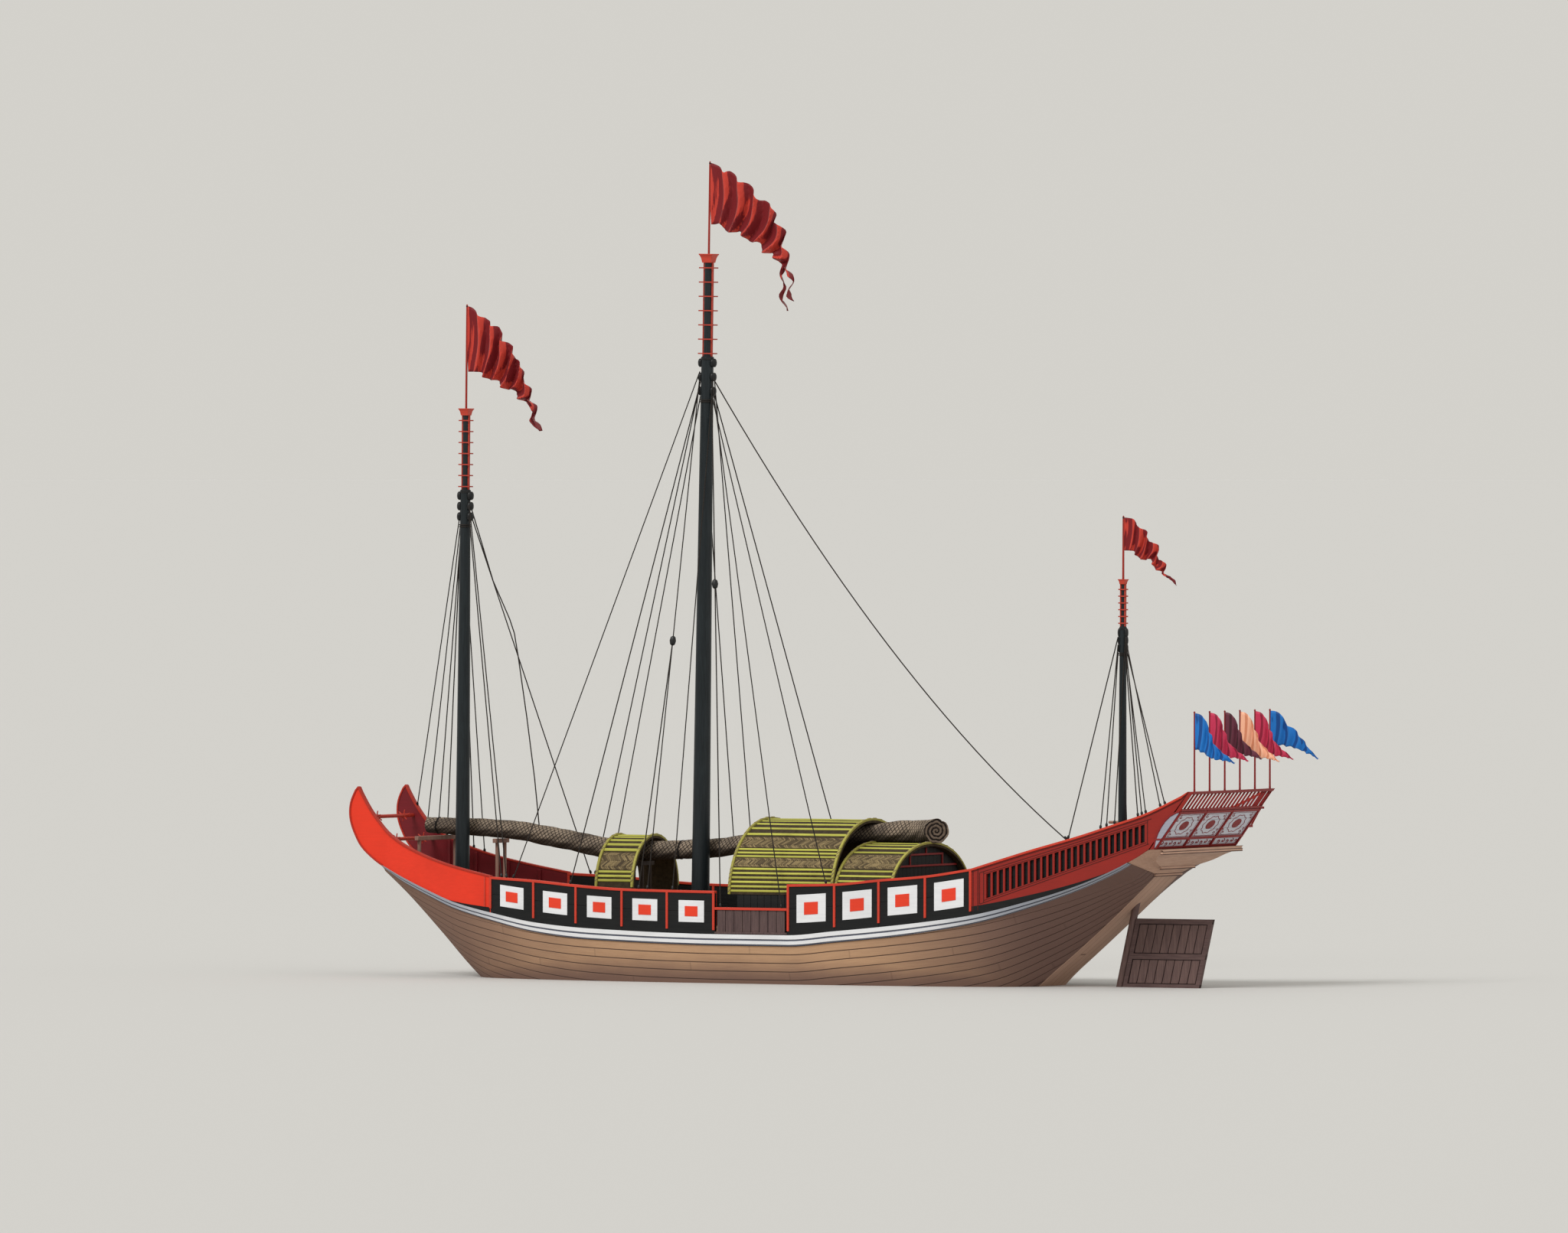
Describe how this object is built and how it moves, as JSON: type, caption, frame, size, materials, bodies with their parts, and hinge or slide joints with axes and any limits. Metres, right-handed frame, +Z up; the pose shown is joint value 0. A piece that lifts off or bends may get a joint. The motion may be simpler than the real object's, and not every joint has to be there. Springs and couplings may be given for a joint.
{
  "type": "chinese junk ship",
  "caption": "Sea-going wooden junk afloat, with masts, rolled mat sails, arched mat roofs, panelled bulwarks, turning windlasses and a rudder that steers.",
  "frame": {"origin": "on the waterline, amidships, in the ship's middle plane", "axes": "+X aft towards the stern, +Y to starboard, +Z up"},
  "size_m": [28.3503, 6.03, 23.858],
  "materials": {
    "hull_timber": "oiled planking with dark seams, matt",
    "counter_timber": "bare planed timber, matt",
    "dark_timber": "dark stained boards, matt",
    "bare_timber": "bare poles, matt",
    "red_paint": "vermilion paint on planks, satin",
    "black_paint": "black paint on planks, satin",
    "mast_black": "tarred pole, satin",
    "gallery_grey": "pale grey paint with dark red scrollwork, satin",
    "rope": "tarred hemp, matt",
    "matting": "bamboo strips and woven mat, matt",
    "sail_mat": "woven mat, matt",
    "flag_red": "dyed silk",
    "flag_blue": "dyed silk",
    "flag_crimson": "dyed silk",
    "flag_plum": "dyed silk",
    "flag_peach": "dyed silk"
  },
  "bodies": {
    "ship": {"aft_bulwark_port": "black_paint", "aft_bulwark_starboard": "black_paint", "aft_gable": "black_paint", "aft_mat_roof": "matting", "bow_crutch": "bare_timber", "bow_wing_port": "red_paint", "bow_wing_starboard": "red_paint", "counter": "counter_timber", "deckhouse": "dark_timber", "fore_bulwark_port": "black_paint", "fore_bulwark_starboard": "black_paint", "fore_crutch": "bare_timber", "fore_flag": "flag_red", "fore_mast": "mast_black", "fore_masthead": "red_paint", "fore_sail_roll": "sail_mat", "fore_shroud_port": "rope", "fore_shroud_starboard": "rope", "gangway_board_port": "dark_timber", "gangway_board_starboard": "dark_timber", "hatch_mat": "matting", "hull": "hull_timber", "main_aft_shroud_port": "rope", "main_aft_shroud_starboard": "rope", "main_backstay": "rope", "main_crutch": "bare_timber", "main_flag": "flag_red", "main_fore_shroud_port": "rope", "main_fore_shroud_starboard": "rope", "main_mast": "mast_black", "main_masthead": "red_paint", "main_mat_roof": "matting", "main_sail_roll": "sail_mat", "mid_crutch": "bare_timber", "mizzen_flag": "flag_red", "mizzen_mast": "mast_black", "mizzen_masthead": "red_paint", "mizzen_shroud_port": "rope", "mizzen_shroud_starboard": "rope", "poop_bulwark_port": "red_paint", "poop_bulwark_starboard": "red_paint", "poop_deck": "hull_timber", "quarter_balcony": "red_paint", "quarterdeck": "hull_timber", "stern_flag_1": "flag_blue", "stern_flag_2": "flag_crimson", "stern_flag_3": "flag_plum", "stern_flag_4": "flag_peach", "stern_flag_5": "flag_crimson", "stern_flag_6": "flag_blue", "stern_panel": "gallery_grey", "taffrail": "red_paint"},
    "rudder": {"rudder_stock": "dark_timber", "rudder_blade": "dark_timber", "tiller": "bare_timber"},
    "upper_windlass": {"upper_windlass": "red_paint"},
    "lower_windlass": {"lower_windlass": "red_paint"}
  },
  "joints": [
    {"name": "steering", "type": "hinge", "parent": "ship", "child": "rudder", "pos_m": [10.44, 0, 1.88], "axis": [0.2198, 0, 0.9755], "range_deg": [-35, 35]},
    {"name": "upper_windlass_turn", "type": "hinge", "parent": "ship", "child": "upper_windlass", "pos_m": [-12.84, 0, 4.42], "axis": [0, 1, 0], "continuous": true},
    {"name": "lower_windlass_turn", "type": "hinge", "parent": "ship", "child": "lower_windlass", "pos_m": [-12.22, 0, 3.8], "axis": [0, 1, 0], "continuous": true}
  ]
}
